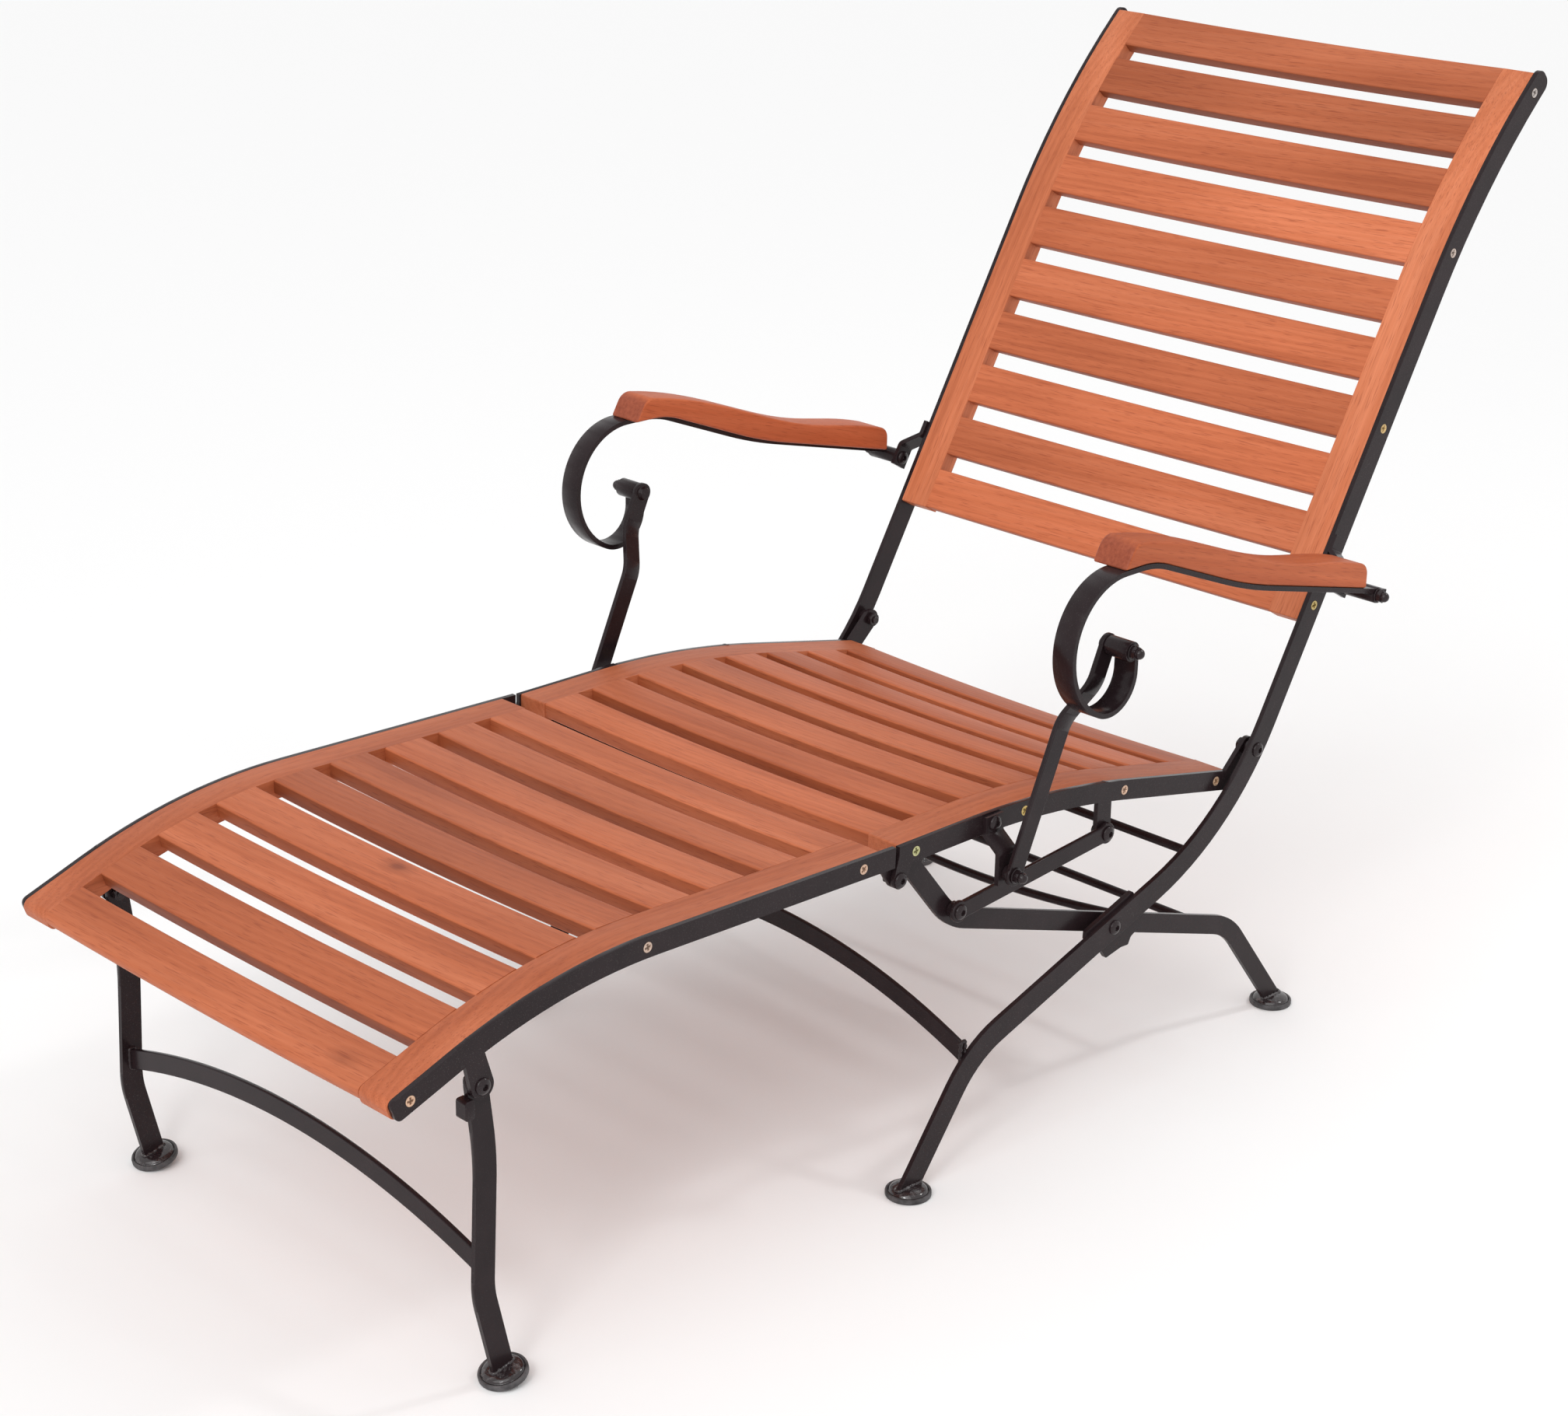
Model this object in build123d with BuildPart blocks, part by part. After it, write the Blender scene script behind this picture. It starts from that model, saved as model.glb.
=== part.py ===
from build123d import *
from math import atan2, cos, degrees, radians, sin, tan
import os

os.makedirs("parts", exist_ok=True)

# A folding deck chair. X runs to the foot end, Y to the sitter's left and Z up, in millimetres.
# The floor is Z = 0 and the origin lies under the middle of the chair's length.
# Side-view points are (X, Z) pairs, angles are degrees from +X towards +Z.
# Side members are built on the left and mirrored to the right.

# Bar and timber sections
bar_t = 5.0
rail_w = 20.0
back_bar_w = 25.0
link_w = 17.0
strip_w = 24.0
stile_w = 36.0
stile_t = 20.0
slat_t = 15.0
slat_dish = 4.0
edge_r = 2.0
end_r = 1.5
front_nose_r = 8.0

# Clearances
run_fit = 0.06
side_play = 0.4
screw_play = 0.2

# Fasteners
pin_r = 4.0
eye_r = 10.5
head_r = 7.5
head_h = 4.0
head_taper = 25.0
nut_h = 5.0
nut_r = 7.5
dome_r = 6.5
collar_r = 8.0
screw_r = 2.2
screw_head_r = 4.8
screw_head_h = 2.6
screw_len = 26.0

# Planes across the chair, left side
seat_half = 260.0
rail_out = seat_half + bar_t
link_gap = 0.6
link_in = rail_out + link_gap
link_out = link_in + bar_t
back_gap = 1.4
back_half = link_out + back_gap
back_out = back_half + bar_t
rear_leg_set = 0.5
rear_leg_out = seat_half - rear_leg_set
rear_leg_in = rear_leg_out - bar_t
front_leg_set = 2.0
front_leg_out = seat_half - front_leg_set
front_leg_in = front_leg_out - bar_t
hanger_gap = 5.0
hanger_in = back_out + hanger_gap
hanger_out = hanger_in + bar_t
support_gap = 5.5
support_in = hanger_out + support_gap
bracket_step = 28.0
bracket_out = back_out + bracket_step
arm_w = 40.0
arm_in = bracket_out
strip_out = arm_in + arm_w
grip_gap = 3.0
support_top_in = strip_out - strip_w - grip_gap - bar_t

# Pivots in the side view
seat_pivot = (-338.5, 316.0)
cross_pivot = (-126.0, 186.7)
link_pivot = (-115.0, 287.0)
arm_pivot = (-425.0, 477.0)
grip_pivot = (-43.0, 510.0)
support_pivot = (50.0, 301.0)
foot_hinge = (171.0, 322.0)
leg_pivot = (657.0, 288.0)

# Feet
cap_r = 22.0
cap_h = 5.5
cap_edge = 1.5
plate_r = 18.5
plate_t = 2.5
foot_h = cap_h + plate_t

# Back rail: crown, long straight, knee at the seat, shin and middle leg
back_angle = -60.0
crown_angle = -43.8
shin_angle = -18.5
mid_leg_angle = -53.5
back_run = 615.0
crown_r = 850.0
crown_lead = 19.47
crown_run = crown_r * tan(radians((crown_angle - back_angle) / 2)) + crown_lead
knee_r = 300.0
ankle_r = 120.0
mid_foot_x = 157.0

# Rear leg: tip under the seat, shoulder, long run through the crossing, rear leg
tip = (147.0, 324.3)
tip_angle = 50.7
run_angle = 18.3
rear_leg_angle = 51.6
shoulder_r = 75.0
heel_r = 80.0
rear_foot_x = -422.0
link_foot_rise = 9.5

# Seat and footrest rails
seat_rear_x = -308.0
seat_front_x = 173.0
seat_corner = (-38.6, 345.0)
seat_rake = 12.0
seat_r = 1090.0
timber_set = 2.0
rest_rear = (178.0, 346.0)
rest_crown = (578.0, 356.5)
rest_drop = 20.0
rest_run = 180.0
rest_r = 590.0
rest_timber_x = 195.0
rest_over = 2.0
lug_root = (186.0, 342.0)
lug_r = 8.5
leg_tab_angle = 75.0

# Panels
back_slat_count = 10
seat_slat_count = 8
rest_slat_count = 9
back_slat_w = 44.5
seat_slat_w = 44.5
rest_slat_w = 45.0
back_slat_ends = (0.0, 1.0)
seat_slat_ends = (1.0, 1.0)
rest_slat_ends = (1.0, 0.0)
back_timber_low = 136.0
back_timber_top = 8.0
back_screw_count = 4
seat_screw_count = 4
rest_screw_count = 3
back_screw_ends = (16.0, 20.0)
seat_screw_ends = (17.0, 20.0)
rest_screw_ends = (24.0, 20.0)

# Front leg
leg_knee = (648.5, 219.0)
leg_shin = (653.8, 92.0)
leg_tilt = 13.5
leg_knee_r = 320.0
leg_shin_r = 90.0
leg_w = 21.5
tab_r = 11.5
stop_t = 10.0
stop_h = 17.5
stop_r = 2.5
stop_gap = 0.6
stop_angle = -45.0

# Cross members: arched bars between the legs, straight rods and a bowed rod
arch_w = 20.0
mid_arch = (85.0, 112.0)
mid_arch_rise = 57.0
front_arch_z = 107.0
front_arch_rise = 39.0
back_rod_at = (-245.0, 230.0)
rest_rod_r = 8.0
rod_r = 4.5
low_rod_run = -172.0
bow_rod_run = -115.0
bow_angle = -20.0
bow_depth = 35.0

# Armrests: a strip under the pad that ends in a scroll round the front pivot
arm_rear = (-440.0, 477.5)
arm_waist = (-210.0, 533.5)
arm_rise_x = -70.0
scroll_at = (-29.0, 520.0)
scroll_r = 67.5
scroll_turn = 155.0
curl_r = 34.5
waist_r = 600.0
rise_r = 100.0
grip_tube_r = 9.5
arm_tube_r = 8.0
arm_tube_out = strip_out

# Arm pads: thickness over the strip at stations from the front to the rear
pad_front_x = -27.0
pad_swell_x = -165.0
pad_waist_x = -285.0
pad_heel_x = -360.0
pad_rear_x = -406.0
pad_front_t = 24.0
pad_swell_t = 27.5
pad_waist_t = 22.5
pad_heel_t = 26.0
pad_rear_t = 24.5
pad_lean = 14.0
pad_nose_r = 16.0
pad_tail_r = 13.0

# Stepped brackets, hangers and arm supports
step_r = 5.0
bracket_reach = 46.0
bracket_step_low = 30.0
bracket_step_high = 14.0
support_step_low = 150.0
support_step_high = 190.0
support_bend_r = 40.0

# Stop plates at the crossing, drawn along and across the shin of the back rail
stop_outline = [
    (-49.0, -8.0),
    (-45.0, -28.0),
    (-24.0, -31.0),
    (-18.0, -37.0),
    (-8.0, -33.0),
    (15.0, -30.0),
    (21.0, -10.0),
    (36.0, 8.0),
    (33.0, 16.0),
    (-38.0, 16.0),
]
stop_corner = 2.0


def toward(point, angle, distance):
    return (point[0] + distance * cos(radians(angle)), point[1] + distance * sin(radians(angle)))


def meet(p, p_angle, q, q_angle):
    a = radians(p_angle)
    b = radians(q_angle)
    s = ((q[0] - p[0]) * sin(b) - (q[1] - p[1]) * cos(b)) / sin(b - a)
    return toward(p, p_angle, s)


def heading(p, q):
    return degrees(atan2(q[1] - p[1], q[0] - p[0]))


def beside(points, distance):
    """The same run of straight lines, moved to the left of its travel."""
    angles = [heading(p, q) for p, q in zip(points, points[1:])]
    moved = [toward(p, a + 90, distance) for p, a in zip(points, angles)]
    corners = [meet(moved[i], angles[i], moved[i + 1], angles[i + 1]) for i in range(len(angles) - 1)]
    return [moved[0], *corners, toward(points[-1], angles[-1] + 90, distance)]


def side_plane(y):
    return Plane(origin=(0, y, 0), x_dir=(1, 0, 0), z_dir=(0, -1, 0))


def out_at(point, y, way=1):
    """A place on the plane at Y, looking out to the sitter's left, or in with way -1."""
    return Plane(origin=(point[0], y, point[1]), x_dir=(1, 0, 0), z_dir=(0, way, 0))


def path_on(points, radii, y):
    with BuildLine(side_plane(y)) as line:
        if radii:
            FilletPolyline(*points, radius=radii)
        else:
            Polyline(*points)
    return line.wire()


def bar_along(path, across, width, thickness):
    """A flat bar swept on a path; the thickness lies along the across direction."""
    with BuildPart() as bar:
        with BuildSketch(Plane(origin=path @ 0, x_dir=across, z_dir=path % 0)):
            Rectangle(thickness, width)
        sweep(path=path)
    return bar.part


def side_bar(points, radii, width, y_in, thickness=bar_t):
    return bar_along(path_on(points, radii, y_in + thickness / 2), (0, 1, 0), width, thickness)


def disc(point, radius, y_from, y_to, mode=Mode.ADD):
    """A round running across the chair from one Y to another."""
    with BuildSketch(out_at(point, y_from)) as section:
        Circle(radius)
    extrude(section.sketch, amount=y_to - y_from, mode=mode)


def bore(point, y_from, y_to, radius=pin_r + run_fit):
    disc(point, radius, y_from, y_to, Mode.SUBTRACT)


def web(first, first_r, second, second_r, y_in):
    """A plate that wraps two rounds."""
    with BuildSketch(side_plane(y_in + bar_t)) as section:
        with Locations(first):
            Circle(first_r)
        with Locations(second):
            Circle(second_r)
        make_hull()
    extrude(section.sketch, amount=bar_t)


def button_head(point, y_face, way=1):
    with BuildSketch(out_at(point, y_face, way)) as section:
        Circle(head_r)
    extrude(section.sketch, amount=head_h, taper=head_taper)


def inner_nut(point, y_face):
    with BuildSketch(out_at(point, y_face - nut_h)) as section:
        RegularPolygon(nut_r, 6)
    extrude(section.sketch, amount=nut_h)


def cap_nut(point, y_face):
    with BuildSketch(out_at(point, y_face)) as section:
        RegularPolygon(nut_r, 6)
    extrude(section.sketch, amount=dome_r)
    with Locations((point[0], y_face + dome_r, point[1])):
        Sphere(dome_r)


def spots(path, ends, count):
    """Evenly spaced side-view points along a path, set in from its ends."""
    first, last = ends
    step = (path.length - first - last) / (count - 1)
    places = [path.position_at(first + i * step, PositionMode.LENGTH) for i in range(count)]
    return [(p.X, p.Z) for p in places]


def outward(points, y):
    return [Location((x, y, z), (-90, 0, 0)) for x, z in points]


def sink(points, y):
    with Locations(*outward(points, y)):
        CounterSinkHole(screw_r + screw_play, screw_head_r + screw_play)


def pilot(points, y):
    with Locations(*outward(points, y)):
        Hole(screw_r, depth=screw_len - bar_t)


def screws(points, y):
    with BuildPart() as group:
        with Locations(*outward(points, y)):
            Cone(screw_r, screw_head_r, screw_head_h, align=(Align.CENTER, Align.CENTER, Align.MAX))
            Cylinder(screw_r, screw_len, align=(Align.CENTER, Align.CENTER, Align.MAX))
        mirror(about=Plane.XZ)
    return group


def stile(points, radii, y_out, holes, last_r=end_r):
    """A timber side member with eased ends, the last one rounder where it shows."""
    with BuildPart() as member:
        add(side_bar(points, radii, stile_t, y_out - stile_w, stile_w))
        for end, radius in ((points[0], end_r), (points[-1], last_r)):
            corners = member.edges().filter_by(Axis.Y).sort_by_distance((end[0], y_out, end[1]))
            fillet(corners[0:2], radius=radius)
        pilot(holes, y_out)
    return member


def slats(points, radii, y_out, width, count, ends):
    """Dished cross slats, set between the stiles, flush with the top of the timber."""
    first, last = ends
    path = path_on(beside(points, stile_t / 2), radii, 0)
    length = y_out - stile_w
    step = (path.length - first - last - width) / (count - 1)
    with BuildPart() as group:
        for i in range(count):
            at = first + width / 2 + i * step
            face = Plane(
                origin=path.position_at(at, PositionMode.LENGTH),
                x_dir=(0, 1, 0),
                z_dir=path.tangent_at(at, PositionMode.LENGTH),
            )
            with BuildSketch(face):
                with BuildLine():
                    ThreePointArc((-length, 0), (0, -slat_dish), (length, 0))
                    Line((length, 0), (length, -slat_t))
                    ThreePointArc((length, -slat_t), (0, -slat_t - slat_dish), (-length, -slat_t))
                    Line((-length, -slat_t), (-length, 0))
                make_face()
            extrude(amount=width / 2, both=True)
        fillet(group.edges().filter_by(GeomType.CIRCLE), radius=edge_r)
    return group


def foot_pair(place):
    """Rubber caps and steel plates of a pair of feet, on the place under the left leg."""
    with BuildPart() as caps:
        with Locations(place):
            Cylinder(cap_r, cap_h, align=(Align.CENTER, Align.CENTER, Align.MIN))
        rims = caps.edges().filter_by(GeomType.CIRCLE)
        fillet(rims, radius=cap_edge)
        mirror(about=Plane.XZ)
    with BuildPart() as plates:
        with Locations(place * Pos(0, 0, cap_h)):
            Cylinder(plate_r, plate_t, align=(Align.CENTER, Align.CENTER, Align.MIN))
        tops = plates.edges().filter_by(GeomType.CIRCLE).sort_by(Axis.Z)[-1]
        fillet(tops, radius=plate_t * 0.6)
        mirror(about=Plane.XZ)
    return caps, plates


def bolt(point, y_nut, y_head):
    """A pivot bolt with its button head outside and a plain nut inside."""
    disc(point, pin_r, y_nut - nut_h, y_head)
    button_head(point, y_head)
    inner_nut(point, y_nut)


def stand_on_plate(x):
    """Cut a leg level with the top of its foot plate."""
    with Locations((x, back_half, foot_h)):
        Box(4 * back_bar_w, 8 * bar_t, 4 * back_bar_w, align=(Align.CENTER, Align.CENTER, Align.MAX),
            mode=Mode.SUBTRACT)


def arch(x, z, half, rise):
    """An upright flat bar, arched between two legs."""
    with BuildPart() as bar:
        with BuildSketch(Plane(origin=(x, 0, 0), x_dir=(0, 1, 0), z_dir=(1, 0, 0))):
            with BuildLine():
                ThreePointArc((-half, z), (0, z + rise), (half, z))
                Line((half, z), (half, z + arch_w))
                ThreePointArc((half, z + arch_w), (0, z + arch_w + rise), (-half, z + arch_w))
                Line((-half, z + arch_w), (-half, z))
            make_face()
        extrude(amount=bar_t / 2, both=True)
    return bar.part


def across_frame(origin, up):
    """The plane that holds Y and the side-view direction up."""
    return Plane(
        origin=(origin[0], 0, origin[1]),
        x_dir=(0, 1, 0),
        z_dir=(sin(radians(up)), 0, -cos(radians(up))),
    )


def offset_strip(plane, points, radius, width):
    """A flat strip that steps outwards, drawn in a plane that holds Y."""
    with BuildLine(plane) as line:
        FilletPolyline(*points, radius=radius)
    path = line.wire()
    return bar_along(path, plane.z_dir, bar_t, width)


def save(name, part):
    part.label = name
    export_step(part, f"parts/{name}.step")


def save_sides(name, left):
    save(name + "_left", left.part)
    with BuildPart() as right:
        mirror(left.part, about=Plane.XZ)
    save(name + "_right", right.part)


# Back rails, each one bar from the top of the back to the middle foot
crown = toward(seat_pivot, back_angle, -back_run)
knee = meet(seat_pivot, back_angle, cross_pivot, shin_angle)
ankle = meet(cross_pivot, shin_angle, (mid_foot_x, foot_h), mid_leg_angle)
back_tip = toward(crown, crown_angle, -crown_run)
back_end = toward(ankle, mid_leg_angle, (ankle[1] - foot_h) / sin(radians(-mid_leg_angle)) + back_bar_w)
back_line = [back_tip, crown, knee, ankle, back_end]
back_timber = [
    toward(back_tip, crown_angle, back_timber_top),
    crown,
    toward(seat_pivot, back_angle, -back_timber_low),
]
back_panel = beside(back_timber, (back_bar_w - stile_t) / 2)
back_screw_at = spots(path_on(back_timber, [crown_r], 0), back_screw_ends, back_screw_count)

with BuildPart() as back_rail:
    add(side_bar(back_line, [crown_r, knee_r, ankle_r], back_bar_w, back_half))
    tip_edges = back_rail.edges().filter_by(Axis.Y)
    tip_edges = tip_edges.sort_by_distance((back_tip[0], back_half, back_tip[1]))[0:2]
    fillet(tip_edges, radius=back_bar_w * 0.4)
    stand_on_plate(mid_foot_x)
    bore(seat_pivot, back_half, back_out)
    bore(cross_pivot, back_half, back_out)
    sink(back_screw_at, back_out)
save_sides("back_rail", back_rail)

save_sides("back_stile", stile(back_panel, [crown_r], back_half, back_screw_at))
back_slats = slats(back_panel, [crown_r], back_half, back_slat_w, back_slat_count, back_slat_ends)
save("back_slats", back_slats.part)
save("back_screws", screws(back_screw_at, back_out).part)

save("mid_crossbar", arch(*mid_arch, back_half, mid_arch_rise))

with BuildPart() as back_rod:
    disc(back_rod_at, rod_r, -back_half, back_half)
save("back_rod", back_rod.part)

mid_caps, mid_plates = foot_pair(Location((mid_foot_x, back_half + bar_t / 2, 0)))
save("mid_foot_caps", mid_caps.part)
save("mid_foot_plates", mid_plates.part)

# Spacer plates at the crossing, and the stepped brackets that carry the arms
stop_in = back_half - bar_t
shin_plane = Plane(
    origin=(cross_pivot[0], back_half, cross_pivot[1]),
    x_dir=(cos(radians(shin_angle)), 0, sin(radians(shin_angle))),
    z_dir=(0, -1, 0),
)
with BuildPart() as stop_plates:
    with BuildSketch(shin_plane):
        with BuildLine():
            Polyline(*stop_outline, close=True)
        make_face()
        fillet(vertices(), radius=stop_corner)
    extrude(amount=bar_t)
    bore(cross_pivot, stop_in, back_half)
    mirror(about=Plane.XZ)
save("stop_plates", stop_plates.part)

arm_step = across_frame(arm_pivot, 180 + back_angle)
bracket_low = back_out + bar_t / 2
bracket_high = bracket_out - bar_t / 2
bracket_line = [
    (bracket_low, bracket_reach),
    (bracket_low, bracket_step_low),
    (bracket_high, bracket_step_high),
    (bracket_high, -eye_r),
]
with BuildPart() as arm_bracket:
    add(offset_strip(arm_step, bracket_line, step_r, rail_w))
    bore(arm_pivot, bracket_out - bar_t, bracket_out)
save_sides("arm_bracket", arm_bracket)

with BuildPart() as seat_pivot_bolts:
    bolt(seat_pivot, seat_half - side_play, back_out)
    disc(seat_pivot, collar_r, rail_out + side_play, back_half)
    mirror(about=Plane.XZ)
save("seat_pivot_bolts", seat_pivot_bolts.part)

with BuildPart() as cross_pivot_bolts:
    bolt(cross_pivot, rear_leg_in - side_play, back_out)
    disc(cross_pivot, collar_r, rear_leg_out + side_play, stop_in)
    mirror(about=Plane.XZ)
save("cross_pivot_bolts", cross_pivot_bolts.part)

with BuildPart() as arm_pivot_bolts:
    disc(arm_pivot, pin_r, bracket_out - bar_t, arm_tube_out + nut_h)
    button_head(arm_pivot, bracket_out - bar_t, -1)
    cap_nut(arm_pivot, arm_tube_out + side_play)
    mirror(about=Plane.XZ)
save("arm_pivot_bolts", arm_pivot_bolts.part)

# Rear legs, which cross the back rails and carry the front of the seat
shoulder = meet(tip, tip_angle, cross_pivot, run_angle)
heel = meet(cross_pivot, run_angle, (rear_foot_x, foot_h), rear_leg_angle)
rear_end = toward((rear_foot_x, foot_h), rear_leg_angle, -rail_w)
with BuildPart() as rear_leg:
    add(side_bar([tip, shoulder, heel, rear_end], [shoulder_r, heel_r], rail_w, rear_leg_in))
    disc(tip, rail_w / 2, rear_leg_in, rear_leg_out)
    stand_on_plate(rear_foot_x)
    bore(cross_pivot, rear_leg_in, rear_leg_out)
save_sides("rear_leg", rear_leg)

with BuildPart() as seat_rest_rod:
    disc(tip, rest_rod_r, -rear_leg_in, rear_leg_in)
save("seat_rest_rod", seat_rest_rod.part)

with BuildPart() as rear_leg_rod:
    disc(toward(cross_pivot, run_angle, low_rod_run), rod_r, -rear_leg_in, rear_leg_in)
save("rear_leg_rod", rear_leg_rod.part)

bow_from = toward(cross_pivot, run_angle, bow_rod_run)
with BuildPart() as rear_leg_stretcher:
    with BuildLine(across_frame(bow_from, bow_angle)) as bow:
        ThreePointArc((-rear_leg_out, 0), (0, bow_depth), (rear_leg_out, 0))
    with BuildSketch(Plane(origin=bow.wire() @ 0, z_dir=bow.wire() % 0)):
        Circle(rod_r)
    sweep()
    with Locations((bow_from[0], 0, bow_from[1])):
        Box(8 * bow_depth, 2 * rear_leg_in, 8 * bow_depth, mode=Mode.INTERSECT)
save("rear_leg_stretcher", rear_leg_stretcher.part)

rear_caps, rear_plates = foot_pair(Location((rear_foot_x, rear_leg_in + bar_t / 2, 0)))
save("rear_foot_caps", rear_caps.part)
save("rear_foot_plates", rear_plates.part)

# Seat: rails with lugs for the back pivot, the links and the footrest hinge
seat_rear = meet(seat_corner, seat_rake, (seat_rear_x, 0), 90)
seat_front = (seat_front_x, seat_corner[1])
seat_timber = [
    toward(seat_rear, seat_rake, timber_set),
    seat_corner,
    (seat_front_x - timber_set, seat_corner[1]),
]
seat_screw_at = spots(path_on(seat_timber, [seat_r], 0), seat_screw_ends, seat_screw_count)
link_root = meet(seat_corner, seat_rake, link_pivot, 90)
with BuildPart() as seat_rail:
    add(side_bar([seat_rear, seat_corner, seat_front], [seat_r], rail_w, seat_half))
    web(seat_pivot, eye_r, seat_rear, rail_w / 2, seat_half)
    web(link_pivot, eye_r, link_root, rail_w / 2, seat_half)
    web(foot_hinge, lug_r, (seat_front_x - rail_w / 2, seat_corner[1]), rail_w / 2, seat_half)
    bore(seat_pivot, seat_half, rail_out)
    bore(link_pivot, seat_half, rail_out)
    bore(foot_hinge, seat_half, rail_out)
    bore((support_pivot[0], seat_corner[1]), seat_half, rail_out)
    sink(seat_screw_at, rail_out)
save_sides("seat_rail", seat_rail)

save_sides("seat_stile", stile(seat_timber, [seat_r], seat_half, seat_screw_at))
seat_slats = slats(seat_timber, [seat_r], seat_half, seat_slat_w, seat_slat_count, seat_slat_ends)
save("seat_slats", seat_slats.part)
save("seat_screws", screws(seat_screw_at, rail_out).part)

hanger_frame = Plane(origin=(support_pivot[0], 0, 0), x_dir=(0, 1, 0), z_dir=(1, 0, 0))
hanger_high = rail_out + bar_t / 2
hanger_low = hanger_in + bar_t / 2
hanger_line = [
    (hanger_high, seat_corner[1] + rail_w / 2 - timber_set),
    (hanger_high, seat_corner[1] - rail_w / 2),
    (hanger_low, support_pivot[1] + 2 * eye_r),
    (hanger_low, support_pivot[1] - eye_r),
]
with BuildPart() as arm_hanger:
    add(offset_strip(hanger_frame, hanger_line, step_r, strip_w))
    bore(support_pivot, hanger_in, hanger_out)
    bore((support_pivot[0], seat_corner[1]), rail_out, rail_out + bar_t)
save_sides("arm_hanger", arm_hanger)

with BuildPart() as hanger_bolts:
    disc((support_pivot[0], seat_corner[1]), pin_r, seat_half, rail_out + bar_t)
    button_head((support_pivot[0], seat_corner[1]), rail_out + bar_t)
    mirror(about=Plane.XZ)
save("hanger_bolts", hanger_bolts.part)

with BuildPart() as link_pivot_bolts:
    bolt(link_pivot, seat_half, link_out + side_play)
    mirror(about=Plane.XZ)
save("link_pivot_bolts", link_pivot_bolts.part)

with BuildPart() as support_pivot_bolts:
    disc(support_pivot, pin_r, hanger_in, support_in + bar_t + nut_h)
    button_head(support_pivot, hanger_in, -1)
    disc(support_pivot, collar_r, hanger_out, support_in - side_play)
    cap_nut(support_pivot, support_in + bar_t + side_play)
    mirror(about=Plane.XZ)
save("support_pivot_bolts", support_pivot_bolts.part)

lug_out = seat_half - side_play
lug_in = lug_out - bar_t
with BuildPart() as foot_hinge_pins:
    bolt(foot_hinge, lug_in - side_play, rail_out)
    mirror(about=Plane.XZ)
save("foot_hinge_pins", foot_hinge_pins.part)

# Links from the seat to the shoulders of the rear legs
link_foot = toward(shoulder, 90, link_foot_rise)
with BuildPart() as link:
    add(side_bar([link_pivot, link_foot], [], link_w, link_in))
    disc(link_pivot, eye_r, link_in, link_out)
    disc(link_foot, eye_r, link_in, link_out)
    bore(link_pivot, link_in, link_out)
    bore(link_foot, link_in, link_out)
save_sides("link", link)

with BuildPart() as link_bolt:
    disc(link_foot, pin_r, link_in, link_out)
    disc(link_foot, collar_r, rear_leg_out + side_play, link_in)
    button_head(link_foot, link_out)
save_sides("link_bolt", link_bolt)

# Armrests
arm_rise = (arm_rise_x, scroll_at[1] + scroll_r)
scroll_top = toward(scroll_at, 90, scroll_r)
curl_at = toward(scroll_at, 90 - scroll_turn, scroll_r - curl_r)
curl_end = toward(curl_at, 180, curl_r)
support_top_out = support_top_in + bar_t
with BuildPart() as armrest_bar:
    with BuildLine(side_plane(strip_out - strip_w / 2)) as scroll:
        FilletPolyline(arm_rear, arm_waist, arm_rise, scroll_top, radius=[waist_r, rise_r])
        CenterArc(scroll_at, scroll_r, 90, -scroll_turn)
        CenterArc(curl_at, curl_r, 90 - scroll_turn, scroll_turn - 270)
        Line(curl_end, (curl_end[0], grip_pivot[1]))
    add(bar_along(scroll.wire(), (0, 1, 0), bar_t, strip_w))
    disc(grip_pivot, grip_tube_r, support_top_out + side_play, strip_out)
    disc(arm_pivot, arm_tube_r, bracket_out + side_play, arm_tube_out)
    bore(arm_pivot, bracket_out, arm_tube_out)
save_sides("armrest_bar", armrest_bar)

pad_low = beside([arm_rear, arm_waist, arm_rise, scroll_top], bar_t / 2)


def over_strip(x, first, thickness):
    """A point at X, a timber thickness over one straight of the strip."""
    floor = meet(pad_low[first], heading(pad_low[first], pad_low[first + 1]), (x, 0), 90)
    return (x, floor[1] + thickness)


pad_rear = over_strip(pad_rear_x, 0, 0)
pad_front = (pad_front_x, pad_low[-1][1])
pad_top = [
    (pad_front_x - pad_lean, pad_front[1] + pad_front_t),
    over_strip(pad_swell_x, 1, pad_swell_t),
    over_strip(pad_waist_x, 0, pad_waist_t),
    over_strip(pad_heel_x, 0, pad_heel_t),
    over_strip(pad_rear_x, 0, pad_rear_t),
]
with BuildPart() as armrest_pad:
    with BuildSketch(side_plane(arm_in + arm_w)):
        with BuildLine():
            FilletPolyline(pad_rear, pad_low[1], pad_low[2], pad_front, radius=[waist_r, rise_r])
            Line(pad_front, pad_top[0])
            Spline(*pad_top)
            Line(pad_top[-1], pad_rear)
        make_face()
    extrude(amount=arm_w)
    across = armrest_pad.edges().filter_by(Axis.Y)
    fillet(across.sort_by_distance((pad_top[0][0], arm_in, pad_top[0][1]))[0], radius=pad_nose_r)
    across = armrest_pad.edges().filter_by(Axis.Y)
    fillet(across.sort_by_distance((pad_rear_x, arm_in, pad_top[-1][1]))[0], radius=pad_tail_r)
save_sides("armrest_pad", armrest_pad)

with BuildPart() as grip_nut:
    cap_nut(grip_pivot, strip_out)
save_sides("grip_nut", grip_nut)

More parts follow.
